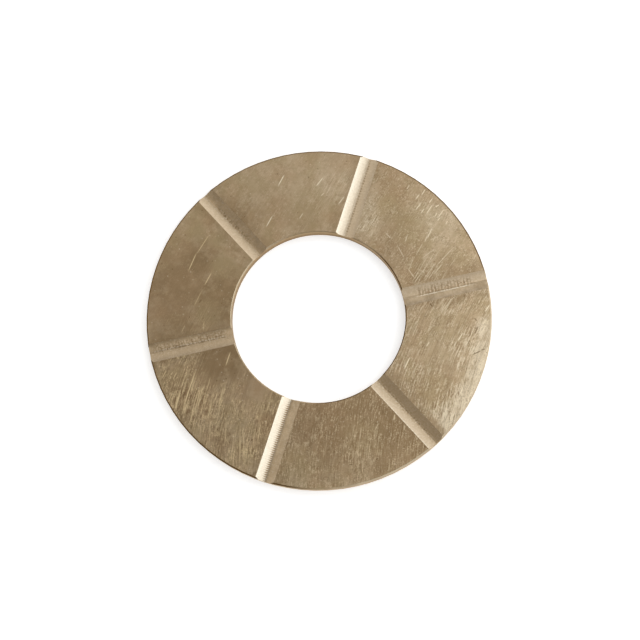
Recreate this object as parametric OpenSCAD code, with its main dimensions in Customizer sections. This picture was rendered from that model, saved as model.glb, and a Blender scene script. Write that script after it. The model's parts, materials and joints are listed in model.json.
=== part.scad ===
// Thrust washer: a flat bronze ring, turned and faced, with V-shaped oil grooves milled straight out
// from the bore to the rim across one face. It lies on its plain back face, with the bore's axis on Z
// and the first groove along +X. All sizes are in millimetres.

/* [Ring] */
// Outside diameter
outer_d = 100; // [80:0.5:140]
// Bore diameter
bore_d = 50.5; // [30:0.5:70]
// Thickness from the back face to the grooved face
thickness = 4; // [3:0.1:8]

/* [Edges] */
// Chamfer between each face and the rim
rim_chamfer = 0.4; // [0.1:0.05:0.8]
// Chamfer between each face and the bore
bore_chamfer = 0.3; // [0.1:0.05:0.8]

/* [Oil grooves] */
// Number of grooves, evenly spaced round the face
groove_count = 6; // [3:1:10]
// Width of a groove where it opens at the face
groove_w = 5.5; // [3:0.1:7]
// Included angle between a groove's two flanks
groove_angle = 130; // [100:1:150]
// Radius at the bottom of a groove, left by the nose of the cutter
groove_root_r = 1; // [0.2:0.1:2]

/* [Hidden] */
outer_r = outer_d / 2;
bore_r = bore_d / 2;
// Angle from the middle of a groove to either flank
flank_angle = groove_angle / 2;
// Depth below the face at which the two flanks would meet if they ran on to a sharp point
sharp_depth = groove_w / 2 / tan(flank_angle);
// Height of the root radius's centre above that sharp point
root_centre = groove_root_r / sin(flank_angle);
// Half the angle that the root radius turns through between the flanks, and the steps it is drawn in
root_turn = 90 - flank_angle;
root_steps = 10;
// How far a groove's cut runs past the face and the rim
cut_over = 1;
// Distance from the axis at which a groove's cut starts, inside the bore
cut_start = bore_r - groove_w;

$fn = 180;

// Half of the ring's cross-section, with a chamfer on each of its four corners
module ring_section() {
    polygon([
        [bore_r + bore_chamfer, 0],
        [outer_r - rim_chamfer, 0],
        [outer_r, rim_chamfer],
        [outer_r, thickness - rim_chamfer],
        [outer_r - rim_chamfer, thickness],
        [bore_r + bore_chamfer, thickness],
        [bore_r, thickness - bore_chamfer],
        [bore_r, bore_chamfer]
    ]);
}

// Cross-section of a groove, with the sharp point of its V at the origin: two straight flanks
// that run into a rounded root
module groove_section() {
    top = sharp_depth + cut_over;
    top_half_w = top * tan(flank_angle);
    root = [
        for (i = [0 : root_steps])
            let (turn = root_turn * (2 * i / root_steps - 1))
                [groove_root_r * sin(turn), root_centre - groove_root_r * cos(turn)]
    ];
    polygon(concat([[-top_half_w, top]], root, [[top_half_w, top]]));
}

// One pass of the cutter, from inside the bore out past the rim along +X
module groove_cut() {
    translate([cut_start, 0, thickness - sharp_depth])
        rotate([90, 0, 90])
            linear_extrude(outer_r + cut_over - cut_start) groove_section();
}

// The washer in one piece: the turned ring less its oil grooves
module thrust_washer() {
    color("tan")
        difference() {
            rotate_extrude() ring_section();
            for (i = [0 : groove_count - 1])
                rotate([0, 0, i * 360 / groove_count]) groove_cut();
        }
}

thrust_washer();
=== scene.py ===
import json
import math

import bpy
from mathutils import Matrix, Vector


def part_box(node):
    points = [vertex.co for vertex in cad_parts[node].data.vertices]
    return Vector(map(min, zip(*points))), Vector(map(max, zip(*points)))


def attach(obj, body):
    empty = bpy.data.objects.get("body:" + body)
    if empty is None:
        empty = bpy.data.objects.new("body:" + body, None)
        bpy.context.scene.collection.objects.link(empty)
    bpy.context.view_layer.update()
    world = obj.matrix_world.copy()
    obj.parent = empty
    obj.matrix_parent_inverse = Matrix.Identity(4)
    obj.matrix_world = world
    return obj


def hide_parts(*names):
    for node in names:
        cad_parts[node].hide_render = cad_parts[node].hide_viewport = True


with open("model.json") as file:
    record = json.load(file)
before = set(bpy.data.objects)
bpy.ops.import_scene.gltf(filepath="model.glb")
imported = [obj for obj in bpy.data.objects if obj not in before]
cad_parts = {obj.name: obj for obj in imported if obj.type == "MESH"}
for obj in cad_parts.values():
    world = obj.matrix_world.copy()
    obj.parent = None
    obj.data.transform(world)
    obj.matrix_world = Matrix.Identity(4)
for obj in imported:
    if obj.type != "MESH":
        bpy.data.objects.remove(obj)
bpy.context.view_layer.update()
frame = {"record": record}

# The washer is one flat ring of cast tin bronze. Its faces, rim and bore are turned, six oil grooves are
# milled straight out from the bore to the rim, and the grooved face is then rubbed flat by hand.
mm = 0.001
_, washer_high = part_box("thrust_washer")
bore = next(mount for mount in frame["record"]["mounts"] if mount["name"] == "bore")
outer_r = washer_high.x
bore_r = bore["dims"]["r_mm"] * mm
thickness = washer_high.z
rim_chamfer = 0.4 * mm
bore_chamfer = 0.3 * mm
groove_w = 5.5 * mm


def join(tree, socket, value):
    """Feeds a socket from another node's output, or sets it to a plain value."""
    if isinstance(value, bpy.types.NodeSocket):
        tree.links.new(value, socket)
    else:
        socket.default_value = value


def place_node(tree, kind, settings=(), **inputs):
    """Adds one node, with its settings and its inputs, each named with _ for a space."""
    node = tree.nodes.new(kind)
    for name, value in dict(settings).items():
        setattr(node, name, value)
    for name, value in inputs.items():
        join(tree, node.inputs[name.replace("_", " ")], value)
    return node


def maths(tree, operation, *values):
    """One sum on numbers, and its result."""
    node = place_node(tree, "ShaderNodeMath", {"operation": operation})
    for socket, value in zip(node.inputs, values):
        join(tree, socket, value)
    return node.outputs[0]


def plus(tree, first, second):
    """Two numbers added up."""
    return maths(tree, "ADD", first, second)


def minus(tree, first, second):
    """The first number less the second."""
    return maths(tree, "SUBTRACT", first, second)


def times(tree, first, second):
    """Two numbers multiplied."""
    return maths(tree, "MULTIPLY", first, second)


def vectors(tree, operation, *values):
    """One sum on vectors, and its result."""
    node = place_node(tree, "ShaderNodeVectorMath", {"operation": operation})
    for socket, value in zip(node.inputs, values):
        join(tree, socket, value)
    return node.outputs["Value" if operation in ("LENGTH", "DOT_PRODUCT", "DISTANCE") else "Vector"]


def ramp(tree, value, start, end, at_start, at_end, kind="SMOOTHSTEP"):
    """Runs from at_start to at_end while the value goes from start to end, and stays level outside them."""
    node = place_node(tree, "ShaderNodeMapRange", {"interpolation_type": kind}, Value=value, From_Min=start,
                      From_Max=end, To_Min=at_start, To_Max=at_end)
    return node.outputs["Result"]


def mottle(tree, place, size, detail, roughness):
    """Cloudy noise with patches of about the given size, from 0 to 1."""
    scaled = vectors(tree, "DIVIDE", place, (size, size, size))
    node = place_node(tree, "ShaderNodeTexNoise", Vector=scaled, Scale=1.0, Detail=detail,
                      Roughness=roughness)
    return node.outputs["Fac"]


def mixed(tree, share, first, second):
    """The first colour, turning into the second as the share goes from 0 to 1."""
    node = place_node(tree, "ShaderNodeMix", {"data_type": "RGBA"})
    for name, value in (("Factor_Float", share), ("A_Color", first), ("B_Color", second)):
        socket = next(s for s in node.inputs if s.identifier == name)
        join(tree, socket, value)
    return next(s for s in node.outputs if s.identifier == "Result_Color")


def new_effect(name, inputs, outputs):
    """An empty shader group with these named inputs and outputs."""
    tree = bpy.data.node_groups.new(name, "ShaderNodeTree")
    for socket_name, kind in inputs.items():
        tree.interface.new_socket(socket_name, in_out="INPUT", socket_type=kind)
    for socket_name, kind in outputs.items():
        tree.interface.new_socket(socket_name, in_out="OUTPUT", socket_type=kind)
    return tree, tree.nodes.new("NodeGroupInput").outputs, tree.nodes.new("NodeGroupOutput").inputs


def use_effect(tree, effect, **inputs):
    """Places a group in a material with its own values, and gives back its outputs."""
    return place_node(tree, "ShaderNodeGroup", {"node_tree": effect}, **inputs).outputs


FLOAT, VECTOR, COLOUR = "NodeSocketFloat", "NodeSocketVector", "NodeSocketColor"

# Tarnish: the bronze browns unevenly in soft clouds, with finer flecks inside them and an olive cast in
# places.
tarnish, given, result = new_effect(
    "bronze_tarnish",
    {"Place": VECTOR, "Clean": COLOUR, "Brown": COLOUR, "Olive": COLOUR, "Cloud Size": FLOAT,
     "Amount": FLOAT},
    {"Colour": COLOUR, "Cloud": FLOAT},
)
clouds = place_node(tarnish, "ShaderNodeTexNoise", Scale=1.0, Detail=5.0, Roughness=0.6,
                    Vector=vectors(tarnish, "DIVIDE", given["Place"], given["Cloud Size"])).outputs["Fac"]
flecks = mottle(tarnish, given["Place"], 1.1, 3.0, 0.65)
both = plus(tarnish, times(tarnish, clouds, 0.7), times(tarnish, flecks, 0.3))
cloud = ramp(tarnish, both, 0.38, 0.62, 0.0, 1.0)
share = times(tarnish, cloud, given["Amount"])
browned = mixed(tarnish, share, given["Clean"], given["Brown"])
cast = ramp(tarnish, mottle(tarnish, given["Place"], 5.0, 6.0, 0.65), 0.46, 0.62, 0.0, 0.6)
join(tarnish, result["Colour"], mixed(tarnish, cast, browned, given["Olive"]))
join(tarnish, result["Cloud"], cloud)

# Tool lines: the fine uneven lines that a cutting edge or a stone leaves side by side.
tool_lines, given, result = new_effect(
    "tool_lines",
    {"Across": FLOAT, "Along": FLOAT, "Pitch": FLOAT, "Run": FLOAT, "Seed": FLOAT},
    {"Lines": FLOAT},
)
line_place = place_node(
    tool_lines, "ShaderNodeCombineXYZ",
    X=maths(tool_lines, "DIVIDE", given["Across"], given["Pitch"]),
    Y=maths(tool_lines, "DIVIDE", given["Along"], given["Run"]),
    Z=given["Seed"],
).outputs["Vector"]
lines = place_node(tool_lines, "ShaderNodeTexNoise", Vector=line_place, Scale=1.0, Detail=2.0,
                   Roughness=0.65).outputs["Fac"]
join(tool_lines, result["Lines"], ramp(tool_lines, lines, 0.25, 0.75, 0.0, 1.0, "LINEAR"))

# Rub strokes: the face was rubbed on a flat stone in long strokes that bend a little, and the scratches
# follow them. Across counts from stroke to stroke and Along runs with them, both in mm.
rub_strokes, given, result = new_effect(
    "rub_strokes", {"Place": VECTOR}, {"Across": FLOAT, "Along": FLOAT},
)
stroke_turn = math.radians(12.8)
bend_from = -42.0
bend_length = 50.0
slant_before = 0.07
slant_after = 0.58
on_stone = place_node(rub_strokes, "ShaderNodeVectorRotate", {"rotation_type": "Z_AXIS"},
                      Vector=given["Place"], Angle=stroke_turn).outputs[0]
stone_xyz = place_node(rub_strokes, "ShaderNodeSeparateXYZ", Vector=on_stone).outputs
from_bend = minus(rub_strokes, stone_xyz["Y"], bend_from)
in_bend = maths(rub_strokes, "MINIMUM", maths(rub_strokes, "MAXIMUM", from_bend, 0.0), bend_length)
past_bend = maths(rub_strokes, "MAXIMUM", minus(rub_strokes, from_bend, bend_length), 0.0)
slant_gain = slant_after - slant_before
bowed = times(rub_strokes, maths(rub_strokes, "POWER", in_bend, 2.0), slant_gain / (2 * bend_length))
drift = plus(rub_strokes, times(rub_strokes, from_bend, slant_before), bowed)
drift = plus(rub_strokes, drift, times(rub_strokes, past_bend, slant_gain))
join(rub_strokes, result["Across"], minus(rub_strokes, stone_xyz["X"], drift))
join(rub_strokes, result["Along"], stone_xyz["Y"])

# Rub marks: separate short scratches side by side along the strokes, no two alike.
rub_marks, given, result = new_effect(
    "rub_marks",
    {"Across": FLOAT, "Along": FLOAT, "Length": FLOAT, "Spacing": FLOAT, "Width": FLOAT, "Share": FLOAT,
     "Seed": FLOAT},
    {"Marks": FLOAT},
)
cell = place_node(rub_marks, "ShaderNodeCombineXYZ", X=given["Length"], Y=given["Spacing"],
                  Z=1.0).outputs[0]
flat_place = place_node(rub_marks, "ShaderNodeCombineXYZ", X=given["Along"], Y=given["Across"]).outputs[0]
in_cells = vectors(rub_marks, "ADD", vectors(rub_marks, "DIVIDE", flat_place, cell), given["Seed"])
cells = place_node(rub_marks, "ShaderNodeTexVoronoi", {"voronoi_dimensions": "2D"}, Vector=in_cells,
                   Scale=1.0)
draw = place_node(rub_marks, "ShaderNodeSeparateColor", Color=cells.outputs["Color"]).outputs
from_middle = vectors(rub_marks, "SUBTRACT", in_cells, cells.outputs["Position"])
from_middle = vectors(rub_marks, "MULTIPLY", from_middle, cell)
offset = place_node(rub_marks, "ShaderNodeSeparateXYZ", Vector=from_middle).outputs
lean = times(rub_marks, minus(rub_marks, draw["Green"], 0.5), 0.14)
sideways = maths(rub_marks, "ABSOLUTE",
                 plus(rub_marks, offset["Y"], times(rub_marks, offset["X"], lean)))
half_length = times(rub_marks, given["Length"],
                    ramp(rub_marks, draw["Blue"], 0.0, 1.0, 0.12, 0.5, "LINEAR"))
body = ramp(rub_marks, sideways, times(rub_marks, given["Width"], 0.3), given["Width"], 1.0, 0.0)
ends = ramp(rub_marks, maths(rub_marks, "ABSOLUTE", offset["X"]),
            times(rub_marks, half_length, 0.5), half_length, 1.0, 0.0)
kept = maths(rub_marks, "LESS_THAN", draw["Red"], given["Share"])
tone = ramp(rub_marks, draw["Blue"], 0.0, 1.0, 0.45, 1.0, "LINEAR")
whole = times(rub_marks, times(rub_marks, body, ends), times(rub_marks, kept, tone))
join(rub_marks, result["Marks"], whole)

# One scratch: a single straight stroke about its middle, at an angle on the face, thin at both ends.
one_scratch, given, result = new_effect(
    "one_scratch", {"Place": VECTOR, "Middle": VECTOR, "Length": FLOAT, "Angle": FLOAT, "Width": FLOAT},
    {"Marks": FLOAT},
)
on_stroke = place_node(one_scratch, "ShaderNodeVectorRotate", {"rotation_type": "Z_AXIS"},
                       Vector=given["Place"], Center=given["Middle"],
                       Angle=times(one_scratch, given["Angle"], -1.0))
offset = place_node(one_scratch, "ShaderNodeSeparateXYZ",
                    Vector=vectors(one_scratch, "SUBTRACT", on_stroke.outputs[0], given["Middle"])).outputs
half_length = maths(one_scratch, "DIVIDE", given["Length"], 2.0)
ends = ramp(one_scratch, maths(one_scratch, "ABSOLUTE", offset["X"]),
            times(one_scratch, half_length, 0.4), half_length, 1.0, 0.0)
body = ramp(one_scratch, maths(one_scratch, "ABSOLUTE", offset["Y"]),
            times(one_scratch, given["Width"], 0.3), given["Width"], 1.0, 0.0)
join(one_scratch, result["Marks"], times(one_scratch, body, ends))

# Specks: small round dots strewn over the face, which serve as pits and as bright pin-pricks.
specks, given, result = new_effect(
    "specks", {"Place": VECTOR, "Spacing": FLOAT, "Size": FLOAT, "Share": FLOAT, "Seed": FLOAT},
    {"Marks": FLOAT},
)
in_cells = vectors(specks, "DIVIDE", given["Place"], given["Spacing"])
in_cells = vectors(specks, "ADD", in_cells, given["Seed"])
cells = place_node(specks, "ShaderNodeTexVoronoi", {"voronoi_dimensions": "2D"}, Vector=in_cells,
                   Scale=1.0)
draw = place_node(specks, "ShaderNodeSeparateColor", Color=cells.outputs["Color"]).outputs
from_middle = times(specks, cells.outputs["Distance"], given["Spacing"])
speck_size = times(specks, given["Size"], ramp(specks, draw["Green"], 0.0, 1.0, 0.45, 1.0, "LINEAR"))
dot = ramp(specks, from_middle, times(specks, speck_size, 0.4), speck_size, 1.0, 0.0)
join(specks, result["Marks"], times(specks, dot, maths(specks, "LESS_THAN", draw["Red"], given["Share"])))

# Soft patch: a round place on the face that fades out towards its edge.
soft_patch, given, result = new_effect(
    "soft_patch", {"Place": VECTOR, "Middle": VECTOR, "Radius": FLOAT, "Strength": FLOAT}, {"Mask": FLOAT},
)
from_middle = vectors(soft_patch, "DISTANCE", given["Place"], given["Middle"])
join(soft_patch, result["Mask"],
     ramp(soft_patch, from_middle, times(soft_patch, given["Radius"], 0.2), given["Radius"],
          given["Strength"], 0.0))


def new_finish(name):
    """A material with an empty tree, the place on the piece in millimetres, and its shader."""
    finish = bpy.data.materials.new(name)
    finish.use_nodes = True
    tree = finish.node_tree
    shader = tree.nodes["Principled BSDF"]
    shader.inputs["Metallic"].default_value = 1.0
    on_piece = place_node(tree, "ShaderNodeTexCoord").outputs["Object"]
    return finish, tree, shader, vectors(tree, "DIVIDE", on_piece, (mm, mm, mm))


def relief(tree, shader, height, depth):
    """Gives the shader a bump of this height from 0 to 1, at a depth in millimetres."""
    node = place_node(tree, "ShaderNodeBump", Height=height, Distance=depth * mm, Strength=1.0)
    tree.links.new(node.outputs["Normal"], shader.inputs["Normal"])


def from_mesh(tree, name):
    """A value that is stored on the mesh, point by point."""
    return place_node(tree, "ShaderNodeAttribute", {"attribute_name": name}).outputs["Fac"]


def on_face(x, y):
    """A place on the grooved face, from its x and y in millimetres."""
    return (x, y, thickness / mm)


def patches(tree, place, rows, least=0.0):
    """The strongest of several soft patches, each given by its x, y, radius and strength."""
    mask = least
    for x, y, radius, strength in rows:
        patch = use_effect(tree, soft_patch, Place=place, Middle=on_face(x, y), Radius=radius,
                           Strength=strength)
        mask = maths(tree, "MAXIMUM", mask, patch["Mask"])
    return mask


def strokes(tree, place, width, rows):
    """The strongest of several scratches, each given by its middle x, y, length, lean and strength."""
    marks = 0.0
    for x, y, length, lean_degrees, strength in rows:
        scratch = use_effect(tree, one_scratch, Place=place, Middle=on_face(x, y), Length=length,
                             Angle=math.radians(lean_degrees), Width=width)["Marks"]
        marks = maths(tree, "MAXIMUM", marks, times(tree, scratch, strength))
    return marks


clean_bronze = (0.56, 0.424, 0.266, 1.0)
brown_bronze = (0.43, 0.298, 0.168, 1.0)
ruddy_bronze = (0.42, 0.278, 0.158, 1.0)
olive_bronze = (0.43, 0.322, 0.175, 1.0)
dark_bronze = (0.33, 0.226, 0.121, 1.0)
pale_bronze = (0.80, 0.675, 0.485, 1.0)
# This colour is that of fresh scratches and lines, and also the painted highlight on the turned edges.
fresh_and_highlight_bronze = (0.88, 0.765, 0.56, 1.0)
golden_bronze = (0.82, 0.64, 0.37, 1.0)
tan_bronze = (0.75, 0.6, 0.39, 1.0)
deep_brown = (0.25, 0.165, 0.085, 1.0)
# This brown is the painted shade towards the groove roots, and also darkens some flanks towards their edge.
oil_brown = (0.25, 0.176, 0.095, 1.0)
# This pale colour lightens fine dots on the flanks, and is also the painted highlight on the groove lips
# and beside the roots.
bare_and_highlight_bronze = (0.95, 0.87, 0.70, 1.0)
# This near-black colour fills pits and nicks, and is also the painted shade on the turned edges.
dark_grime_and_shade = (0.13, 0.075, 0.025, 1.0)

# Half the width of a single scratch or nick, in mm.
scratch_half_width = 0.22
# The rubbing left three sorts of scratch, from long and far apart to short flecks.
rub_layers = [
    # length, spacing, half width, share, seed, strength
    (14.0, 1.3, 0.13, 0.35, 23.0, 0.9),
    (7.0, 0.9, 0.13, 0.35, 11.0, 0.7),
    (2.5, 0.9, 0.14, 0.35, 37.0, 0.7),
]


def rubbed_land(name, browned, grimy, grainy, streaked, line_run, bright, grain_run=1.7, combed=0.5,
                quiet=(), worn=(), pale=(), brown=(), dark=(), olive=(), scratches=(), nicks=()):
    """The finish of one land of the grooved face: rubbed flat, scratched along the strokes and browned."""
    finish, tree, shader, spot = new_finish("rubbed_bronze_" + name)
    coat = use_effect(tree, tarnish, Place=spot, Clean=clean_bronze, Brown=brown_bronze, Olive=olive_bronze,
                      Cloud_Size=9.0, Amount=browned)
    blotches = ramp(tree, mottle(tree, spot, 2.2, 5.0, 0.7), 0.47, 0.62, 0.0, 0.2)
    colour = mixed(tree, times(tree, blotches, browned), coat["Colour"], deep_brown)
    # Patches tint the land: stains, and on the left land painted shade as well.
    stains_and_painted_shade = ((ruddy_bronze, brown), (dark_bronze, dark), (olive_bronze, olive), (pale_bronze, pale))
    for stain, rows in stains_and_painted_shade:
        if rows:
            ragged = ramp(tree, mottle(tree, spot, 3.0, 5.0, 0.65), 0.36, 0.6, 0.4, 1.0)
            colour = mixed(tree, times(tree, patches(tree, spot, rows), ragged), colour, stain)
    crept = plus(tree, from_mesh(tree, "from_groove"),
                 ramp(tree, mottle(tree, spot, 2.5, 4.0, 0.6), 0.3, 0.7, 1.5, -1.5))
    colour = mixed(tree, ramp(tree, crept, 2.5, 6.5, grimy, 0.0), colour, deep_brown)

    stroke = use_effect(tree, rub_strokes, Place=spot)
    drawn_out = place_node(tree, "ShaderNodeCombineXYZ", X=stroke["Across"],
                           Y=maths(tree, "DIVIDE", stroke["Along"], grain_run)).outputs[0]
    combed_grain = times(tree, mottle(tree, drawn_out, 0.4, 1.0, 0.5), 2 * combed)
    round_grain = times(tree, mottle(tree, spot, 0.35, 1.0, 0.5), 2 * (1 - combed))
    grain = minus(tree, plus(tree, combed_grain, round_grain), 1.0)
    gathered = ramp(tree, mottle(tree, spot, 4.0, 3.0, 0.6), 0.35, 0.65, 0.4, 1.0)
    gathered = times(tree, gathered, minus(tree, 1.0, patches(tree, spot, quiet)))
    rubbing = times(tree, patches(tree, spot, worn, streaked), gathered)
    grain = times(tree, grain, plus(tree, gathered, rubbing))
    colour = mixed(tree, ramp(tree, grain, 0.0, -0.3, 0.0, grainy), colour, deep_brown)
    colour = mixed(tree, ramp(tree, grain, 0.02, 0.3, 0.0, grainy), colour, bright)
    bands = use_effect(tree, tool_lines, Across=stroke["Across"], Along=stroke["Along"], Pitch=2.5,
                       Run=25.0, Seed=4.0)["Lines"]
    banded = times(tree, ramp(tree, bands, 0.55, 0.25, 0.0, 0.6), streaked)
    colour = mixed(tree, banded, colour, deep_brown)
    lined = plus(tree, *(
        times(tree, share, use_effect(tree, tool_lines, Across=stroke["Across"], Along=stroke["Along"],
                                      Pitch=pitch, Run=run, Seed=seed)["Lines"])
        for pitch, run, seed, share in ((0.42, line_run, 1.0, 0.5), (0.27, line_run / 2, 8.0, 0.5))
    ))
    deeper = times(tree, ramp(tree, lined, 0.47, 0.32, 0.0, 0.9), rubbing)
    colour = mixed(tree, deeper, colour, deep_brown)
    lighter = times(tree, ramp(tree, lined, 0.54, 0.68, 0.0, 1.0), rubbing)
    colour = mixed(tree, lighter, colour, bright)

    rubbed = 0.0
    for length, spacing, width, share, seed, strength in rub_layers:
        marks = use_effect(tree, rub_marks, Across=stroke["Across"], Along=stroke["Along"], Length=length,
                           Spacing=spacing, Width=width, Share=share, Seed=seed)["Marks"]
        rubbed = maths(tree, "MAXIMUM", rubbed, times(tree, marks, strength))
    rubbed = times(tree, rubbed, rubbing)
    colour = mixed(tree, rubbed, colour, bright)

    pricks = use_effect(tree, specks, Place=spot, Spacing=2.4, Size=0.28, Share=0.3, Seed=5.0)["Marks"]
    colour = mixed(tree, times(tree, pricks, 0.35), colour, fresh_and_highlight_bronze)
    pits = use_effect(tree, specks, Place=spot, Spacing=3.0, Size=0.32, Share=0.25, Seed=9.0)["Marks"]
    colour = mixed(tree, times(tree, pits, 0.45), colour, dark_grime_and_shade)
    colour = mixed(tree, strokes(tree, spot, scratch_half_width, scratches), colour, bright)
    colour = mixed(tree, strokes(tree, spot, scratch_half_width, nicks), colour, dark_grime_and_shade)
    join(tree, shader.inputs["Base Color"], colour)
    dulled = times(tree, coat["Cloud"], 0.06)
    join(tree, shader.inputs["Roughness"], plus(tree, dulled, 0.35))
    raised = times(tree, times(tree, lined, rubbing), 0.5)
    relief(tree, shader, minus(tree, raised, rubbed), 0.02)
    return finish
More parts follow.
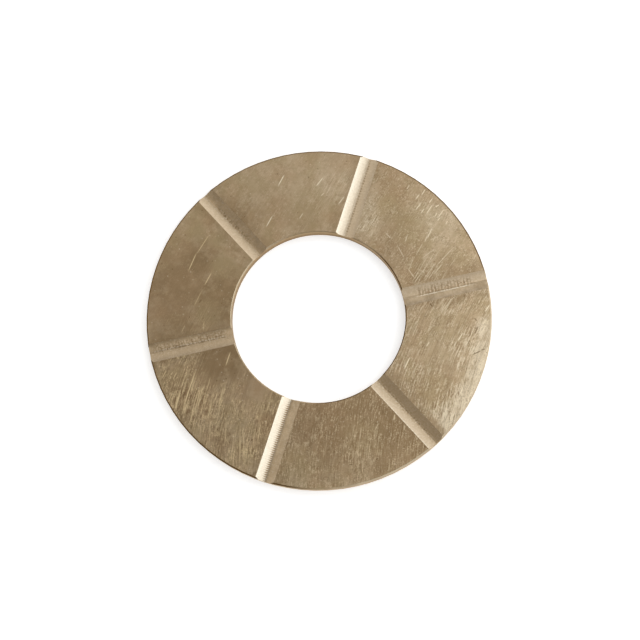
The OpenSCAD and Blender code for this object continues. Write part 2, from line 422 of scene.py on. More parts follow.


# The six lands between the grooves, counter-clockwise from the first groove. Each is browned with tarnish,
# grimy along its grooves and grainy, with a combed share of the grain drawn out along the strokes, as many
# times as grain_run says. It is streaked by the rubbing, in lines of about line_run, and its scratches show
# the bright colour. Patches are an x, a y, a radius and a strength: quiet ones lose their grain, worn ones
# are rubbed more, and the others are stains, but on the left land the brown and dark ones are painted shade
# over the tarnish. Single scratches and dark nicks have a middle x and y, a length, a lean and a strength.
# Lengths are in mm and leans in degrees.
land_looks = {
    "upper_right": dict(
        browned=0.9,
        grimy=0.2,
        grainy=0.36,
        streaked=0.14,
        line_run=7,
        bright=fresh_and_highlight_bronze,
        worn=[(33, 6, 11, 0.4), (20, 24, 6, 0.6), (39, 25, 6, 0.3)],
        pale=[(19, 24, 6, 0.5), (41, 20, 10, 0.35), (20.5, 28.5, 5, 0.5), (23, 33, 4, 0.25)],
        brown=[(24, 14, 9, 0.4), (30, 34, 8, 0.6), (27, 40, 5, 0.6)],
        dark=[
            (29, 21, 8, 0.5),
            (25, 13, 9, 0.6),
            (32, 5, 6, 0.55),
            (40, 5, 6, 0.55),
            (47, 4, 5, 0.55),
        ],
        olive=[(33, 20, 9, 0.8), (27, 27, 6, 0.8)],
        scratches=[
            (35.5, 25.5, 3, 40, 0.9),
            (38.5, 24, 4, 45, 0.9),
            (41.5, 22, 3.5, 44, 0.8),
            (38, 29.5, 2.5, 46, 0.8),
            (36, 28.5, 2, 42, 0.9),
            (39.5, 26.5, 2, 40, 0.9),
            (41, 24.5, 1.5, 20, 0.9),
            (40, 22, 1.5, 50, 0.8),
            (36.5, 24, 2, 42, 0.9),
            (40.5, 20.5, 1.5, 35, 0.8),
            (42.5, 19, 1.5, 48, 0.7),
            (34, 32, 2, 44, 0.6),
            (37, 17, 4.5, 53, 0.8),
            (35.5, 15.5, 2.5, 55, 0.6),
            (35, 11, 5.5, 25, 0.4),
            (39.5, 9, 9, 35, 0.45),
            (31.5, 5.5, 8, 42, 0.4),
            (34.5, 6, 7, 44, 0.4),
            (37, 6, 5, 38, 0.45),
            (33, 13, 4.5, 48, 0.4),
            (36.5, 9.5, 7, 40, 0.3),
            (29.5, 9, 5, 58, 0.35),
            (33, 8.5, 6, 50, 0.3),
            (41.5, 7, 4, 42, 0.3),
            (30, 17, 3, 60, 0.5),
            (29, 6.5, 4, 110, 0.5),
            (27.5, 13.5, 4.5, 105, 0.5),
            (25, 19, 2.5, 120, 0.5),
        ],
    ),
    "top": dict(
        browned=0.85,
        grimy=0.3,
        grainy=0.16,
        streaked=0.1,
        line_run=6,
        bright=fresh_and_highlight_bronze,
        worn=[(12, 36, 12, 0.3)],
        pale=[(14, 39, 12, 0.25), (2, 44, 9, 0.15)],
        brown=[(-5, 33, 7, 0.5), (16, 44, 5, 0.5)],
        dark=[(-18, 34, 11, 0.95), (2, 29, 7, 0.3)],
        olive=[(4, 33, 9, 0.6), (-12, 43, 6, 0.5)],
        scratches=[
            (-2, 42.5, 4.5, 50, 1.0),
            (9, 39.5, 4, 40, 1.0),
            (-8, 31, 4.5, 50, 0.9),
            (1.5, 30.5, 2.5, 45, 0.6),
            (9, 35.5, 1.5, 35, 0.6),
            (14, 32.5, 3.5, 40, 0.7),
        ],
    ),
    "left": dict(
        browned=1.0,
        grimy=0.3,
        grainy=0.12,
        streaked=0.06,
        line_run=6,
        bright=golden_bronze,
        worn=[(-34, 6, 10, 0.25)],
        # The broad brown and dark patches are painted shade over the tarnish, on the side away from the
        # window.
        brown=[(-42, 16, 15, 0.9), (-33, 22, 9, 0.8)],
        dark=[(-27, 12, 14, 1.3), (-40, 3, 13, 0.9), (-38, 20, 16, 0.8), (-31, 24, 10, 1.1)],
        olive=[(-24, 29, 4, 0.9), (-24.5, 21, 5, 0.8), (-31, 8, 6, 0.6), (-30, 33, 5, 0.6)],
        scratches=[
            (-28.5, 28.5, 8, 46, 0.6),
            (-32.5, 24, 7, 55, 0.8),
            (-29, 18, 5, 50, 0.8),
            (-33, 13, 6.5, 52, 0.35),
            (-39, 5, 3, 55, 0.4),
            (-33, 4.5, 3.5, 75, 0.4),
        ],
        nicks=[(-36.5, 8, 0.5, 40, 0.6), (-32.5, 12, 1.5, 45, 0.4)],
    ),
    "lower_left": dict(
        browned=0.7,
        grimy=0.45,
        grainy=0.66,
        grain_run=4.0,
        combed=0.58,
        streaked=0.4,
        line_run=15,
        bright=golden_bronze,
        worn=[(-41, -17, 10, 1.1), (-29, -33, 12, 0.5), (-32, -22, 9, 0.45)],
        quiet=[(-29, -7, 12, 1.0), (-22, -17, 7, 0.8)],
        brown=[(-24, -16, 10, 0.7), (-36, -30, 7, 0.7), (-20, -28, 6, 0.8), (-41, -16, 9, 1.0)],
        dark=[(-30, -5, 13, 1.2), (-45, -21, 6, 0.7), (-46, -11, 7, 0.8)],
        olive=[(-31, -25, 8, 0.4)],
        scratches=[
            (-40.5, -12.5, 13.5, 60, 1.0),
            (-44.5, -15, 5, 60, 0.9),
            (-39, -16.5, 11, 65, 0.7),
            (-44, -8, 3, 52, 0.7),
            (-47, -7, 3, 52, 0.7),
            (-33.5, -16.5, 3, 65, 0.7),
            (-31, -15.5, 2.5, 65, 0.6),
            (-28, -6.5, 5, 60, 0.9),
            (-29.5, -31, 13, 78, 0.6),
            (-33, -27.5, 9, 75, 0.5),
            (-28.5, -31.5, 10, 82, 0.5),
            (-37.5, -27, 6, 75, 0.5),
            (-32, -16.5, 6, 65, 0.6),
            (-41.5, -9.5, 7, 58, 0.5),
            (-35, -12.5, 5, 63, 0.5),
            (-32.5, -34, 8, 72, 0.5),
            (-25.5, -31, 5, 80, 0.4),
            (-44.5, -14.5, 7, 60, 0.6),
            (-46.5, -14, 4, 58, 0.5),
            (-40, -17, 9, 63, 0.6),
            (-38, -15.5, 6, 64, 0.6),
            (-41.5, -20.5, 5, 64, 0.7),
            (-36, -20, 7, 67, 0.5),
            (-39.5, -12, 5, 60, 0.5),
            (-42.5, -17.5, 6, 62, 0.7),
        ],
        nicks=[(-26, -31, 0.7, 20, 0.8), (-35, -26, 0.6, 70, 0.8), (-42, -22.5, 0.7, 60, 0.8)],
    ),
    "foot": dict(
        browned=1.0,
        grimy=0.25,
        grainy=0.6,
        grain_run=6.0,
        streaked=0.26,
        line_run=9,
        bright=tan_bronze,
        worn=[(4, -40, 13, 0.45)],
        brown=[(-4, -30, 17, 1.0), (10, -28, 10, 1.0), (16, -40, 8, 0.6)],
        dark=[(-2, -34, 18, 0.85), (17, -37, 15, 1.8), (6, -28, 10, 1.4), (8, -46, 7, 0.8)],
        olive=[(5, -37, 8, 0.6), (-14, -40, 7, 0.6)],
        scratches=[
            (17, -37, 2, 75, 0.7),
            (15, -33.5, 2, 75, 0.9),
            (9.5, -35, 2.5, 50, 0.6),
            (4.5, -36, 4.5, 70, 0.6),
            (-11.5, -42.5, 1.5, 75, 0.7),
        ],
        nicks=[(0, -44, 1.3, 173, 0.6), (7.5, -44, 0.8, 20, 0.7)],
    ),
    "right": dict(
        browned=0.62,
        grimy=0.45,
        grainy=0.36,
        grain_run=2.5,
        streaked=0.42,
        line_run=6,
        bright=fresh_and_highlight_bronze,
        worn=[(41, -20, 14, 0.8), (32, -34, 12, 0.9), (22, -22, 9, 0.7)],
        quiet=[(31, -20, 8, 0.25), (44, -22, 6, 0.5)],
        dark=[(24, -27, 7, 0.3)],
        pale=[
            (36, -18, 12, 0.1),
            (47, -15, 6, 1.2),
            (45, -21, 6.5, 1.8),
            (42, -27, 6.5, 1.8),
            (37, -33, 6.5, 1.8),
            (31, -38, 6.5, 1.6),
        ],
        olive=[(27, -28, 7, 0.6), (36, -12, 8, 0.5), (31, -19, 7, 0.3)],
        scratches=[
            (48, -8.5, 3, 45, 1.0),
            (38.5, -15, 3.5, 47, 0.9),
            (29, -15, 2, 45, 0.8),
            (22, -19, 4.5, 52, 1.0),
        ],
        nicks=[
            (43.5, -14, 3, 55, 0.7),
            (42, -20.5, 3.2, 12, 0.75),
            (44, -20, 1.4, 7, 0.7),
            (45, -21, 0.9, 30, 0.9),
            (44, -11, 1.4, 120, 0.6),
            (40.5, -17, 1.8, 52, 0.5),
            (32.5, -4, 1.6, 115, 0.75),
            (42.5, -3.5, 1.2, 48, 0.6),
        ],
    ),
}
land_finishes = [rubbed_land(name, **looks) for name, looks in land_looks.items()]

# The grooves' flanks: milled and out of reach of the rubbing. Each is paler or browner, and the paleness is
# a painted highlight on the flanks that face the lamps. They have clouds of stain and the cutter's faint
# feed lines, painted shade towards the root, darkening along the edge, and here and there a painted
# highlight on the lip and another beside the root. Where the cutter chattered they are speckled, and
# dark in the notches.
milled, tree, shader, spot = new_finish("milled_bronze")
highlight_flank = (0.69, 0.63, 0.52, 1.0)
brown_flank = (0.605, 0.431, 0.246, 1.0)
groove_half = groove_w / 2 / mm
root_highlight_at = -0.45
groove_across = from_mesh(tree, "groove_across")
from_root = maths(tree, "ABSOLUTE", groove_across)
# How pale each flank is: a painted highlight on the flanks that face the lamps.
flank_colour = mixed(tree, from_mesh(tree, "painted_flank_highlight"), brown_flank, highlight_flank)
coat = use_effect(tree, tarnish, Place=spot, Clean=flank_colour, Brown=deep_brown, Olive=flank_colour,
                  Cloud_Size=4.0, Amount=from_mesh(tree, "stain"))
feed_lines = use_effect(tree, tool_lines, Across=from_mesh(tree, "groove_run"), Along=groove_across,
                        Pitch=0.3, Run=6.0, Seed=2.0)["Lines"]
colour = mixed(tree, times(tree, feed_lines, 0.15), coat["Colour"], fresh_and_highlight_bronze)
# Painted shade on the flanks towards the root.
near_root = ramp(tree, from_root, 0.0, groove_half - 0.25, 1.0, 0.0, "LINEAR")
colour = mixed(tree, times(tree, near_root, from_mesh(tree, "oil")), colour, oil_brown)
# Some flanks grow darker towards their outer edge.
near_edge = ramp(tree, from_root, groove_half - 1.35, groove_half + 0.05, 0.0, 1.0, "LINEAR")
colour = mixed(tree, times(tree, near_edge, from_mesh(tree, "edge_oil")), colour, oil_brown)
fine_dots = mottle(tree, spot, 0.5, 2.0, 0.6)
colour = mixed(tree, ramp(tree, fine_dots, 0.5, 0.3, 0.0, 0.15), colour, deep_brown)
colour = mixed(tree, ramp(tree, fine_dots, 0.5, 0.7, 0.0, 0.15), colour, bare_and_highlight_bronze)
# A painted highlight along the lip of some flanks.
on_lip = ramp(tree, from_root, groove_half - 0.35, groove_half - 0.05, 0.0, 1.0)
lip_highlight_line = times(tree, on_lip, ramp(tree, fine_dots, 0.4, 0.6, 0.2, 1.0))
colour = mixed(tree, times(tree, lip_highlight_line, from_mesh(tree, "painted_lip_highlight")), colour, bare_and_highlight_bronze)
# A painted highlight in a thin line beside the root of some grooves.
from_root_highlight = maths(tree, "ABSOLUTE", minus(tree, groove_across, root_highlight_at))
root_highlight_stripe = times(tree, ramp(tree, from_root_highlight, 0.05, 0.2, 1.0, 0.0),
                    ramp(tree, fine_dots, 0.4, 0.55, 0.3, 1.0))
colour = mixed(tree, times(tree, root_highlight_stripe, from_mesh(tree, "painted_root_highlight")), colour, bare_and_highlight_bronze)
tooth_width = from_mesh(tree, "tooth_width")
speckled = times(tree, ramp(tree, tooth_width, 0.0, 0.3, 0.0, 1.0), from_mesh(tree, "speckle"))
dark_dots = ramp(tree, fine_dots, 0.5, 0.36, 0.0, 1.0)
colour = mixed(tree, times(tree, dark_dots, speckled), colour, deep_brown)
light_dots = ramp(tree, fine_dots, 0.52, 0.66, 0.0, 0.25)
colour = mixed(tree, times(tree, light_dots, speckled), colour, fresh_and_highlight_bronze)


def notches(tree, count, width):
    """Where the notches of a row lie, from their running count and their width there, from 0 to 1."""
    in_notch = minus(tree, times(tree, maths(tree, "FRACT", count), 2.0), 1.0)
    return ramp(tree, plus(tree, maths(tree, "ABSOLUTE", in_notch), width), 0.85, 1.2, 0.0, 1.0)


in_notches = notches(tree, from_mesh(tree, "tooth_count"), tooth_width)
colour = mixed(tree, times(tree, in_notches, from_mesh(tree, "chatter")), colour, deep_brown)
join(tree, shader.inputs["Base Color"], colour)
join(tree, shader.inputs["Roughness"], plus(tree, times(tree, feed_lines, 0.06), 0.32))
relief(tree, shader, feed_lines, 0.005)

# The rim, the bore, the chamfers and the plain back: left as turned, with fine lines round the axis. The
# upper edges carry near-black painted shade along the side that faces away from the window and a painted
# highlight along the side that faces it, and the bore's wall has painted shade that deepens towards its
# foot.
turned, tree, shader, spot = new_finish("turned_bronze")
shader.inputs["Specular Tint"].default_value = (0.78, 0.68, 0.56, 1.0)
coat = use_effect(tree, tarnish, Place=spot, Clean=clean_bronze, Brown=brown_bronze, Olive=olive_bronze,
                  Cloud_Size=7.0, Amount=1.0)
flat_spot = vectors(tree, "MULTIPLY", spot, (1.0, 1.0, 0.0))
outward = vectors(tree, "NORMALIZE", flat_spot)
from_axis = vectors(tree, "LENGTH", flat_spot)
spot_xyz = place_node(tree, "ShaderNodeSeparateXYZ", Vector=spot).outputs
turning = use_effect(tree, tool_lines, Across=plus(tree, from_axis, spot_xyz["Z"]), Along=spot_xyz["X"],
                     Pitch=0.22, Run=40.0, Seed=6.0)["Lines"]
colour = mixed(tree, times(tree, turning, 0.25), coat["Colour"], fresh_and_highlight_bronze)


def towards(degrees, start, end):
    """A mask that rises where the surface lies in this direction from the axis."""
    way = Vector((math.cos(math.radians(degrees)), math.sin(math.radians(degrees)), 0.0))
    return ramp(tree, vectors(tree, "DOT_PRODUCT", outward, way), start, end, 0.0, 1.0)


upper_edge = ramp(tree, spot_xyz["Z"], thickness / mm - 0.6, thickness / mm - 0.4, 0.0, 1.0)
on_rim = maths(tree, "GREATER_THAN", from_axis, (outer_r + bore_r) / 2 / mm)
in_bore = minus(tree, 1.0, on_rim)
on_bore_wall = maths(tree, "LESS_THAN", from_axis, bore_r / mm + 0.1)
# Painted shade, near black, along the upper edges on the side away from the window, and a painted highlight
# on the side towards it.
oily = plus(tree, times(tree, on_rim, towards(127, -0.68, -0.48)),
            times(tree, in_bore, towards(-35, 0.2, 0.5)))
painted_edge_highlight = plus(tree, times(tree, on_rim, towards(-45, 0.55, 0.85)),
               times(tree, in_bore, towards(150, 0.55, 0.85)))
painted_edge_highlight = times(tree, painted_edge_highlight, 0.55)
colour = mixed(tree, times(tree, painted_edge_highlight, upper_edge), colour, fresh_and_highlight_bronze)
colour = mixed(tree, times(tree, oily, upper_edge), colour, dark_grime_and_shade)
# Painted shade on the bore's wall, darkest at its foot.
painted_wall_shade = ramp(tree, spot_xyz["Z"], 1.2, 3.4, 0.8, 0.3)
colour = mixed(tree, times(tree, on_bore_wall, painted_wall_shade), colour, deep_brown)
join(tree, shader.inputs["Base Color"], colour)
join(tree, shader.inputs["Roughness"], plus(tree, times(tree, turning, 0.08), 0.34))
relief(tree, shader, turning, 0.01)

# The washer's own mesh starts as its turned section, drawn once round: along the back, up the rim, in along
# the grooved face and down the bore. Each corner comes with the steps that the stretch after it has.
face_steps = 200
back_steps = 12
wall_steps = 6
chamfer_steps = 2
corners = [
    (bore_r + bore_chamfer, 0.0, back_steps),
    (outer_r - rim_chamfer, 0.0, chamfer_steps),
    (outer_r, rim_chamfer, wall_steps),
    (outer_r, thickness - rim_chamfer, chamfer_steps),
    (outer_r - rim_chamfer, thickness, face_steps),
    (bore_r + bore_chamfer, thickness, chamfer_steps),
    (bore_r, thickness - bore_chamfer, wall_steps),
    (bore_r, bore_chamfer, chamfer_steps),
]
section = []
left_as_turned = []
for i, (radius, level, steps) in enumerate(corners):
    next_radius, next_level, _ = corners[(i + 1) % len(corners)]
    for step in range(steps):
        share = step / steps
        section.append((radius + share * (next_radius - radius), 0.0, level + share * (next_level - level)))
        left_as_turned.append(0.0 if steps == face_steps and step > 0 else 1.0)
section.append(section[0])
left_as_turned.append(1.0)
section_mesh = bpy.data.meshes.new("washer_section")
section_mesh.from_pydata(section, [(i, i + 1) for i in range(len(section) - 1)], [])
section_mesh.attributes.new("turned", "FLOAT", "POINT").data.foreach_set("value", left_as_turned)
washer = bpy.data.objects.new("thrust_washer_bronze", section_mesh)
bpy.context.scene.collection.objects.link(washer)

# A tree of nodes then spins the section round the axis and mills the grooves in it. Its columns run along
# each groove's edges, so the edges are straight and sharp.
mill = bpy.data.node_groups.new("mill_oil_grooves", "GeometryNodeTree")
mill.is_modifier = True
mill_inputs = {
    "Section": ("NodeSocketGeometry", None),
    "Grooves": ("NodeSocketInt", 6),
    "Groove Width": (FLOAT, groove_w),
    "Groove Angle": (FLOAT, math.radians(130)),
    "Root Radius": (FLOAT, 1.0 * mm),
    "Thickness": (FLOAT, thickness),
    "Wall Foot": (FLOAT, 0.5 * mm),
    "Edge Strip": (FLOAT, 0.25 * mm),
    "Columns Across": ("NodeSocketInt", 48),
    "Columns Between": ("NodeSocketInt", 12),
    "Flank Hollow": (FLOAT, 0.25),
    "Chatter Depth": (FLOAT, 0.03 * mm),
    "Seed": (FLOAT, 4.0),
    "Milled": ("NodeSocketMaterial", milled),
    "Turned": ("NodeSocketMaterial", turned),
}
for i, finish in enumerate(land_finishes):
    mill_inputs[f"Land {i}"] = ("NodeSocketMaterial", finish)
for name, (kind, _) in mill_inputs.items():
    mill.interface.new_socket(name, in_out="INPUT", socket_type=kind)
mill.interface.new_socket("Washer", in_out="OUTPUT", socket_type="NodeSocketGeometry")
given = mill.nodes.new("NodeGroupInput").outputs

rings = place_node(mill, "GeometryNodeAttributeDomainSize",
                   Geometry=given["Section"]).outputs["Point Count"]
sector_columns = plus(mill, given["Columns Across"], given["Columns Between"])
columns = times(mill, given["Grooves"], sector_columns)
sheet = place_node(mill, "GeometryNodeMeshGrid", Vertices_X=plus(mill, columns, 1.0),
                   Vertices_Y=rings).outputs["Mesh"]
index = place_node(mill, "GeometryNodeInputIndex").outputs["Index"]
column = maths(mill, "FLOOR", maths(mill, "DIVIDE", index, rings))
ring = minus(mill, index, times(mill, column, rings))
sector = maths(mill, "FLOOR", maths(mill, "DIVIDE", column, sector_columns))
step = minus(mill, column, times(mill, sector, sector_columns))

on_section = place_node(mill, "GeometryNodeSampleIndex", {"data_type": "FLOAT_VECTOR"},
                        Geometry=given["Section"], Index=ring,
                        Value=place_node(mill, "GeometryNodeInputPosition").outputs[0]).outputs["Value"]
as_turned = place_node(mill, "GeometryNodeSampleIndex", {"data_type": "FLOAT"},
                       Geometry=given["Section"], Index=ring,
                       Value=place_node(mill, "GeometryNodeInputNamedAttribute", Name="turned").outputs[0])
section_xyz = place_node(mill, "ShaderNodeSeparateXYZ", Vector=on_section).outputs
radius, level = section_xyz["X"], section_xyz["Z"]

half_w = maths(mill, "DIVIDE", given["Groove Width"], 2.0)
half_strip = plus(mill, half_w, given["Edge Strip"])
crossed = maths(mill, "MINIMUM", maths(mill, "DIVIDE", step, given["Columns Across"]), 1.0)
sideways = times(mill, half_strip, minus(mill, times(mill, crossed, 2.0), 1.0))
past = maths(mill, "DIVIDE", minus(mill, step, given["Columns Across"]), given["Columns Between"])
past = maths(mill, "MAXIMUM", past, 0.0)
sector_turn = maths(mill, "DIVIDE", 2 * math.pi, given["Grooves"])
strip_turn = maths(mill, "ARCSINE", maths(mill, "DIVIDE", half_strip, radius))
land_turn = minus(mill, sector_turn, times(mill, strip_turn, 2.0))
turn = plus(mill, times(mill, sector, sector_turn),
            plus(mill, maths(mill, "ARCSINE", maths(mill, "DIVIDE", sideways, radius)),
                 times(mill, past, land_turn)))

flank = maths(mill, "DIVIDE", given["Groove Angle"], 2.0)
slope = maths(mill, "DIVIDE", 1.0, maths(mill, "TANGENT", flank))
from_root = maths(mill, "ABSOLUTE", sideways)
flank_share = maths(mill, "DIVIDE", from_root, half_w)
hollowed = times(mill, given["Flank Hollow"], minus(mill, flank_share, 1.0))
on_flank = times(mill, times(mill, from_root, slope), plus(mill, hollowed, 1.0))
root_r = given["Root Radius"]
under_root = minus(mill, times(mill, root_r, root_r), times(mill, from_root, from_root))
on_root = minus(mill, maths(mill, "DIVIDE", root_r, maths(mill, "SINE", flank)),
                maths(mill, "SQRT", maths(mill, "MAXIMUM", under_root, 0.0)))
in_root = maths(mill, "LESS_THAN", from_root, times(mill, root_r, maths(mill, "COSINE", flank)))
floor_level = plus(mill, on_flank, times(mill, in_root, minus(mill, on_root, on_flank)))

# Chatter: where the cutter shook it left a row of small notches across the groove, each groove in its own
# way. Pairs belong to the flanks before and after the root, and the rest to the whole groove. The notches
# have a pitch, start beside the root, taper out over their reach, and run from one distance from the axis
# to another, all in mm, and the more even they are, the less they stray from their pitch and strength.
# Of the pairs, the first gives each flank's paleness, a painted highlight on the flanks that face the
# lamps, the third painted shade towards the root and the fifth a painted highlight on the lip; the first
# single value is a painted highlight beside the root.
groove_looks = [
    dict(painted_flank_highlight=(0.3, 0.33), stain=(0.55, 0.2), oil=(0.4, 0.25), edge_oil=(0.0, 0.2), painted_lip_highlight=(0.0, 0.0),
         painted_root_highlight=0.7, speckle=0.45, chatter=0.65, even=0.3,
         pitch=0.95, start=0.0, reach=2.3, run=(28, 47)),
    dict(painted_flank_highlight=(0.28, 1.0), stain=(0.1, 0.05), oil=(0.1, 0.7), edge_oil=(0.0, 0.0), painted_lip_highlight=(0.0, 0.0),
         painted_root_highlight=0.0, speckle=0.0, chatter=0.85, even=0.3,
         pitch=0.8, start=-0.2, reach=-0.45, run=(25, 51)),
    dict(painted_flank_highlight=(0.0, 0.38), stain=(0.45, 0.1), oil=(0.0, 0.6), edge_oil=(0.0, 0.0), painted_lip_highlight=(0.0, 0.0),
         painted_root_highlight=0.0, speckle=0.7, chatter=0.5, even=0.1,
         pitch=0.9, start=0.1, reach=-1.1, run=(29, 45)),
    dict(painted_flank_highlight=(0.08, 0.22), stain=(0.45, 0.2), oil=(0.0, 0.45), edge_oil=(0.85, 0.0), painted_lip_highlight=(0.0, 0.0),
         painted_root_highlight=0.4, speckle=0.7, chatter=0.4, even=0.1,
         pitch=0.85, start=-0.3, reach=-1.9, run=(26, 50)),
    dict(painted_flank_highlight=(1.0, 0.15), stain=(0.05, 0.45), oil=(0.33, 0.45), edge_oil=(0.0, 0.0), painted_lip_highlight=(0.0, 0.0),
         painted_root_highlight=0.0, speckle=0.0, chatter=0.95, even=0.85,
         pitch=0.6, start=-0.1, reach=-1.1, run=(25, 51)),
    dict(painted_flank_highlight=(0.48, 0.0), stain=(0.1, 0.05), oil=(0.65, 0.0), edge_oil=(0.0, 0.0), painted_lip_highlight=(0.6, 0.0),
         painted_root_highlight=0.0, speckle=0.5, chatter=0.25, even=0.2,
         pitch=0.9, start=-0.3, reach=1.1, run=(25, 49)),
]


def per_groove(values):
    """Picks the value that belongs to the groove of each point."""
    node = place_node(mill, "GeometryNodeIndexSwitch", {"data_type": "FLOAT"})
    while len(node.index_switch_items) < len(values):
        node.index_switch_items.new()
    join(mill, node.inputs["Index"], sector)
    for i, value in enumerate(values):
        node.inputs[i + 1].default_value = value
    return node.outputs["Output"]


after_root = maths(mill, "GREATER_THAN", sideways, 0.0)


def look(name):
    """The value of this name for the groove of each point."""
    return per_groove([groove[name] for groove in groove_looks])


def on_flanks(name):
    """The value of this name for the flank of each point."""
    before, after = (per_groove(values) for values in zip(*(groove[name] for groove in groove_looks)))
    return plus(mill, before, times(mill, after_root, minus(mill, after, before)))


run_square = minus(mill, times(mill, radius, radius), times(mill, sideways, sideways))
run_mm = maths(mill, "DIVIDE", maths(mill, "SQRT", run_square), mm)
across_mm = maths(mill, "DIVIDE", sideways, mm)


def along_groove(pitch, seed):
    """Noise that changes along each groove, from 0 to 1, at about this pitch in mm."""
    place = place_node(mill, "ShaderNodeCombineXYZ", X=maths(mill, "DIVIDE", run_mm, pitch), Y=sector,
                       Z=plus(mill, given["Seed"], seed)).outputs[0]
    return place_node(mill, "ShaderNodeTexNoise", Vector=place, Scale=1.0, Detail=2.0).outputs["Fac"]


wander = times(mill, along_groove(2.0, 0.0), minus(mill, 1.0, look("even")))
tooth_count = plus(mill, maths(mill, "DIVIDE", run_mm, look("pitch")), wander)
taper = maths(mill, "DIVIDE", minus(mill, across_mm, look("start")), look("reach"))
tooth_width = maths(mill, "MINIMUM", ramp(mill, taper, 0.0, 1.0, 0.8, 0.0, "LINEAR"),
                    ramp(mill, taper, -0.15, 0.0, 0.0, 1.0))
notch_row_fade = 3.0
run_from, run_to = (per_groove(values) for values in zip(*(groove["run"] for groove in groove_looks)))
begun = ramp(mill, run_mm, run_from, plus(mill, run_from, notch_row_fade), 0.0, 1.0)
not_over = ramp(mill, run_mm, minus(mill, run_to, notch_row_fade), run_to, 1.0, 0.0)
in_run = times(mill, begun, not_over)
uneven = ramp(mill, along_groove(1.1, 7.0), 0.35, 0.65, look("even"), 1.0)
chatter = times(mill, times(mill, in_run, uneven), look("chatter"))
sharp_depth = times(mill, half_w, slope)
smooth_depth = minus(mill, sharp_depth, floor_level)
notched = times(mill, maths(mill, "GREATER_THAN", smooth_depth, 0.0), given["Chatter Depth"])
cut_notch = times(mill, notches(mill, tooth_count, tooth_width), chatter)
depth = maths(mill, "MAXIMUM", plus(mill, smooth_depth, times(mill, cut_notch, notched)), 0.0)
cut_level = minus(mill, given["Thickness"], depth)
pressed = ramp(mill, level, given["Wall Foot"], minus(mill, given["Thickness"], given["Wall Foot"]),
               given["Wall Foot"], cut_level, "LINEAR")
final_level = maths(mill, "MINIMUM", level, pressed)
spun = place_node(mill, "ShaderNodeCombineXYZ",
                  X=times(mill, radius, maths(mill, "COSINE", turn)),
                  Y=times(mill, radius, maths(mill, "SINE", turn)), Z=final_level).outputs[0]
ring_mesh = place_node(mill, "GeometryNodeSetPosition", Geometry=sheet, Position=spun).outputs[0]

since_groove = minus(mill, turn, times(mill, sector, sector_turn))
to_next = minus(mill, sector_turn, since_groove)
nearest_turn = maths(mill, "MINIMUM", maths(mill, "ABSOLUTE", since_groove),
                     maths(mill, "ABSOLUTE", to_next))
from_groove = maths(mill, "DIVIDE", times(mill, radius, maths(mill, "SINE", nearest_turn)), mm)
hair = 0.001 * mm
in_groove = maths(mill, "LESS_THAN", from_root, plus(mill, half_w, hair))
cut_here = maths(mill, "LESS_THAN", cut_level, plus(mill, level, hair))
above_wall = maths(mill, "GREATER_THAN", level, minus(mill, given["Thickness"], given["Wall Foot"]))
is_milled = times(mill, times(mill, in_groove, cut_here), above_wall)
before_middle = maths(mill, "LESS_THAN", step, maths(mill, "DIVIDE", given["Columns Across"], 2.0))
land = minus(mill, plus(mill, sector, given["Grooves"]), before_middle)
kept_values = {
    "land": maths(mill, "MODULO", land, given["Grooves"]),
    "turned": as_turned.outputs["Value"],
    "milled": is_milled,
    "groove_run": run_mm,
    "groove_across": across_mm,
    "from_groove": from_groove,
    "painted_flank_highlight": on_flanks("painted_flank_highlight"),
    "stain": on_flanks("stain"),
    "oil": on_flanks("oil"),
    "edge_oil": on_flanks("edge_oil"),
    "painted_lip_highlight": on_flanks("painted_lip_highlight"),
    "painted_root_highlight": times(mill, in_run, look("painted_root_highlight")),
    "tooth_count": tooth_count,
    "tooth_width": tooth_width,
    "chatter": chatter,
    "speckle": times(mill, in_run, look("speckle")),
}
for name, value in kept_values.items():
    ring_mesh = place_node(mill, "GeometryNodeStoreNamedAttribute",
                           {"data_type": "FLOAT", "domain": "POINT"},
                           Geometry=ring_mesh, Name=name, Value=value).outputs[0]
ring_mesh = place_node(mill, "GeometryNodeMergeByDistance", Geometry=ring_mesh, Distance=hair).outputs[0]
sharp_turn = math.radians(20)
edge_turn = place_node(mill, "GeometryNodeInputMeshEdgeAngle").outputs["Unsigned Angle"]
shade = place_node(mill, "GeometryNodeSetShadeSmooth", {"domain": "EDGE"})
join(mill, shade.inputs[0], ring_mesh)
join(mill, shade.inputs["Shade Smooth"], maths(mill, "LESS_THAN", edge_turn, sharp_turn))
ring_mesh = place_node(mill, "GeometryNodeRealizeInstances", Geometry=shade.outputs[0]).outputs[0]


def stored(name):
    """A value that was stored on the mesh, read back."""
    return place_node(mill, "GeometryNodeInputNamedAttribute", Name=name).outputs[0]


most_corners = 0.75
near_enough = 0.3
finished_faces = {
    f"Land {i}": maths(mill, "COMPARE", stored("land"), i, near_enough) for i in range(len(land_finishes))
}
finished_faces["Turned"] = maths(mill, "GREATER_THAN", stored("turned"), most_corners)
finished_faces["Milled"] = maths(mill, "GREATER_THAN", stored("milled"), most_corners)
for name, faces in finished_faces.items():
    ring_mesh = place_node(mill, "GeometryNodeSetMaterial", Geometry=ring_mesh, Material=given[name],
                           Selection=faces).outputs[0]
join(mill, mill.nodes.new("NodeGroupOutput").inputs["Washer"], ring_mesh)

milling = washer.modifiers.new("milling", "NODES")
milling.node_group = mill
for socket in mill.interface.items_tree:
    if socket.in_out == "INPUT" and socket.name != "Section":
        milling[socket.identifier] = mill_inputs[socket.name][1]
washer.data = bpy.data.meshes.new_from_object(washer.evaluated_get(bpy.context.evaluated_depsgraph_get()))
washer.data.name = "thrust_washer_bronze"
washer.modifiers.clear()
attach(washer, "root")
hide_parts("thrust_washer")

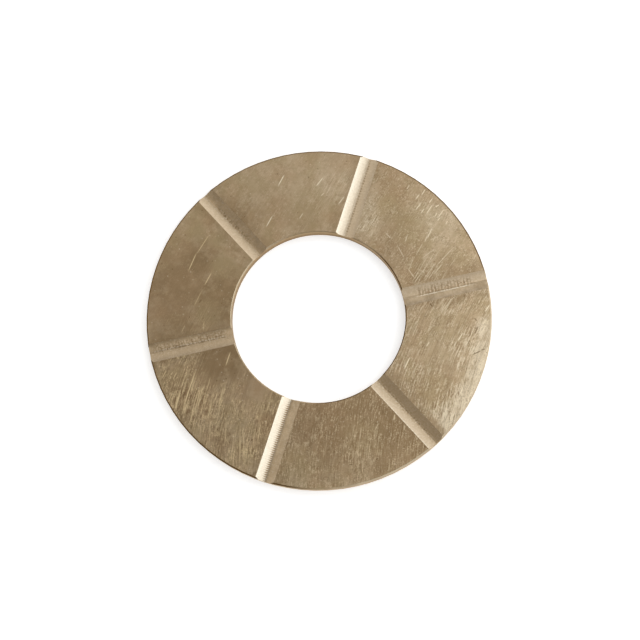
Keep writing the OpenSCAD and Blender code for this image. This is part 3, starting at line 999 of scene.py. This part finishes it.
# The floor is one wide sheet of plain pale board that the washer lies on. It glows a little where it is
# seen, so that it comes out white, and still takes the washer's soft shadow.
floor_half = 3.0
floor_glow = 0.5
board_colour = (0.8, 0.8, 0.8, 1.0)
floor_corners = [(x * floor_half, y * floor_half, 0.0) for x, y in ((-1, -1), (1, -1), (1, 1), (-1, 1))]
floor_mesh = bpy.data.meshes.new("floor")
floor_mesh.from_pydata(floor_corners, [], [(0, 1, 2, 3)])
floor = bpy.data.objects.new("floor", floor_mesh)
bpy.context.scene.collection.objects.link(floor)
board = bpy.data.materials.new("pale_board")
board.use_nodes = True
tree = board.node_tree
shader = tree.nodes["Principled BSDF"]
shader.inputs["Base Color"].default_value = board_colour
shader.inputs["Roughness"].default_value = 0.9
shader.inputs["Specular IOR Level"].default_value = 0.0
shader.inputs["Emission Color"].default_value = (1.0, 1.0, 1.0, 1.0)
ray = place_node(tree, "ShaderNodeLightPath").outputs
seen = maths(tree, "MAXIMUM", maths(tree, "MAXIMUM", ray["Is Camera Ray"], ray["Is Glossy Ray"]),
             ray["Is Transmission Ray"])
join(tree, shader.inputs["Emission Strength"], times(tree, seen, floor_glow))
floor_mesh.materials.append(board)

# Studio lights: a large soft window on the right, a low panel at the upper right, a weak one near the
# bottom of the picture, a wide one at the upper left, and a pale room. Their directions are those of the
# photograph, where the first groove points a little above the right.
photo_turn = math.radians(12.5)
photo_right = Vector((math.cos(-photo_turn), math.sin(-photo_turn), 0.0))
photo_up = Vector((-photo_right.y, photo_right.x, 0.0))
upward = Vector((0.0, 0.0, 1.0))
face_centre = Vector((0.0, 0.0, thickness))
room_grey = 0.345
# Watts for each square metre of a panel, at a brightness of 1.
panel_power = 4.0


def soft_panel(name, direction, height_angle, distance, width, length, brightness):
    """A lamp aimed at the washer, from a direction in the photograph counted from its right, in degrees."""
    lamp = bpy.data.lights.new(name, "AREA")
    lamp.shape = "RECTANGLE"
    lamp.size = width
    lamp.size_y = length
    lamp.energy = panel_power * width * length * brightness
    lamp_object = bpy.data.objects.new(name, lamp)
    flat = photo_right * math.cos(math.radians(direction)) + photo_up * math.sin(math.radians(direction))
    away = flat * math.cos(math.radians(height_angle)) + upward * math.sin(math.radians(height_angle))
    lamp_object.location = face_centre + away * distance
    lamp_object.rotation_mode = "QUATERNION"
    lamp_object.rotation_quaternion = away.to_track_quat("Z", "Y")
    bpy.context.scene.collection.objects.link(lamp_object)


soft_panel("window", 2, 48, 1.0, 1.2, 1.35, 1.1)
soft_panel("low_panel", 62, 24, 1.0, 0.8, 0.6, 0.55)
soft_panel("near_panel", -80, 40, 0.9, 0.9, 0.5, 0.28)
soft_panel("upper_left_panel", 126, 45, 0.9, 1.7, 0.7, 0.45)
room = bpy.data.worlds.new("room")
room.use_nodes = True
room.node_tree.nodes["Background"].inputs["Color"].default_value = (room_grey, room_grey, room_grey, 1.0)
room.node_tree.nodes["Background"].inputs["Strength"].default_value = 1.0
bpy.context.scene.world = room

# The camera stands above the washer and leans a little towards the bottom of the picture, so that the
# bore's far wall shows. The washer's centre lies a few of the photograph's pixels off the picture's middle.
camera_distance = 416.7 * mm
camera_tilt = math.radians(12.13)
lean_angle = math.radians(-76.6)
washer_radius_px = 173.09
photo_pixel = outer_r / washer_radius_px
centre_left_of_middle = 1.83 * photo_pixel
centre_above_middle = 3.84 * photo_pixel
lean = photo_right * math.cos(lean_angle) + photo_up * math.sin(lean_angle)
beside_lean = upward.cross(lean)
view_back = lean * math.sin(camera_tilt) + upward * math.cos(camera_tilt)
down_lean = lean * math.cos(camera_tilt) - upward * math.sin(camera_tilt)
view_right = down_lean * math.cos(lean_angle) - beside_lean * math.sin(lean_angle)
view_up = down_lean * math.sin(lean_angle) + beside_lean * math.cos(lean_angle)
camera_data = bpy.data.cameras.new("camera")
camera_data.sensor_width = 36.0
camera_data.lens = 81.1
camera_data.clip_start = 0.01
camera = bpy.data.objects.new("camera", camera_data)
camera_place = face_centre + view_back * camera_distance
camera_place += view_right * centre_left_of_middle - view_up * centre_above_middle
turn_to_view = Matrix((view_right, view_up, view_back)).transposed().to_4x4()
camera.matrix_world = Matrix.Translation(camera_place) @ turn_to_view
bpy.context.scene.collection.objects.link(camera)
bpy.context.scene.camera = camera
bpy.context.scene.view_settings.view_transform = "Standard"
